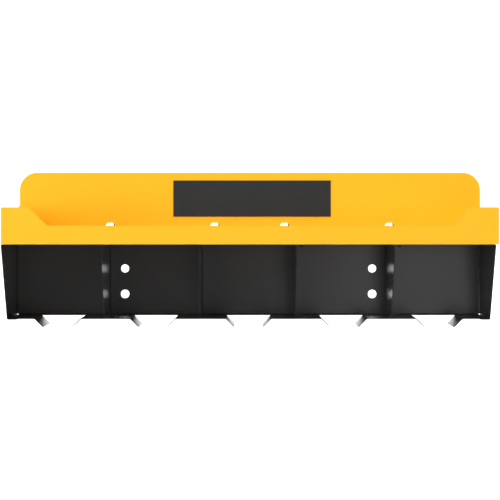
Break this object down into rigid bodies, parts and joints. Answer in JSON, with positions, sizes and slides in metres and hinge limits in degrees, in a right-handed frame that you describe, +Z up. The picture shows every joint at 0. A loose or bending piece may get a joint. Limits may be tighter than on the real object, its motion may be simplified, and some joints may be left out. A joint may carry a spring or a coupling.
{
  "type": "wall mounted power tool organizer",
  "caption": "Wall rack of folded black steel sheet with open-fronted slots that hang cordless power tools, below a yellow sheet-metal shelf tray.",
  "frame": {"origin": "on the wall's surface, in the middle of the four round wall holes", "axes": "+X to the right seen from the front, +Y into the wall, +Z up"},
  "size_m": [0.7642, 0.2032, 0.2469],
  "materials": {
    "black_powder_coat": "satin black powder coat",
    "yellow_powder_coat": "satin yellow powder coat",
    "label_charcoal": "matt charcoal",
    "black_oxide_steel": "black oxide"
  },
  "bodies": {
    "root": {"rack_body": "black_powder_coat", "left_side_panel": "black_powder_coat", "right_side_panel": "black_powder_coat", "divider_1": "black_powder_coat", "divider_2": "black_powder_coat", "divider_3": "black_powder_coat", "divider_4": "black_powder_coat", "shelf_tray": "yellow_powder_coat", "label_plate": "label_charcoal", "tray_screw_1": "black_oxide_steel", "tray_screw_2": "black_oxide_steel", "tray_screw_3": "black_oxide_steel", "tray_screw_4": "black_oxide_steel", "tray_screw_5": "black_oxide_steel", "tray_screw_6": "black_oxide_steel", "tray_screw_7": "black_oxide_steel", "tray_screw_8": "black_oxide_steel", "tray_screw_9": "black_oxide_steel", "tray_screw_10": "black_oxide_steel", "tray_screw_11": "black_oxide_steel", "tray_screw_12": "black_oxide_steel", "tray_nut_1": "black_oxide_steel", "tray_nut_2": "black_oxide_steel", "tray_nut_3": "black_oxide_steel", "tray_nut_4": "black_oxide_steel", "tray_nut_5": "black_oxide_steel", "tray_nut_6": "black_oxide_steel", "tray_nut_7": "black_oxide_steel", "tray_nut_8": "black_oxide_steel", "tray_nut_9": "black_oxide_steel", "tray_nut_10": "black_oxide_steel", "tray_nut_11": "black_oxide_steel", "tray_nut_12": "black_oxide_steel"}
  },
  "joints": []
}
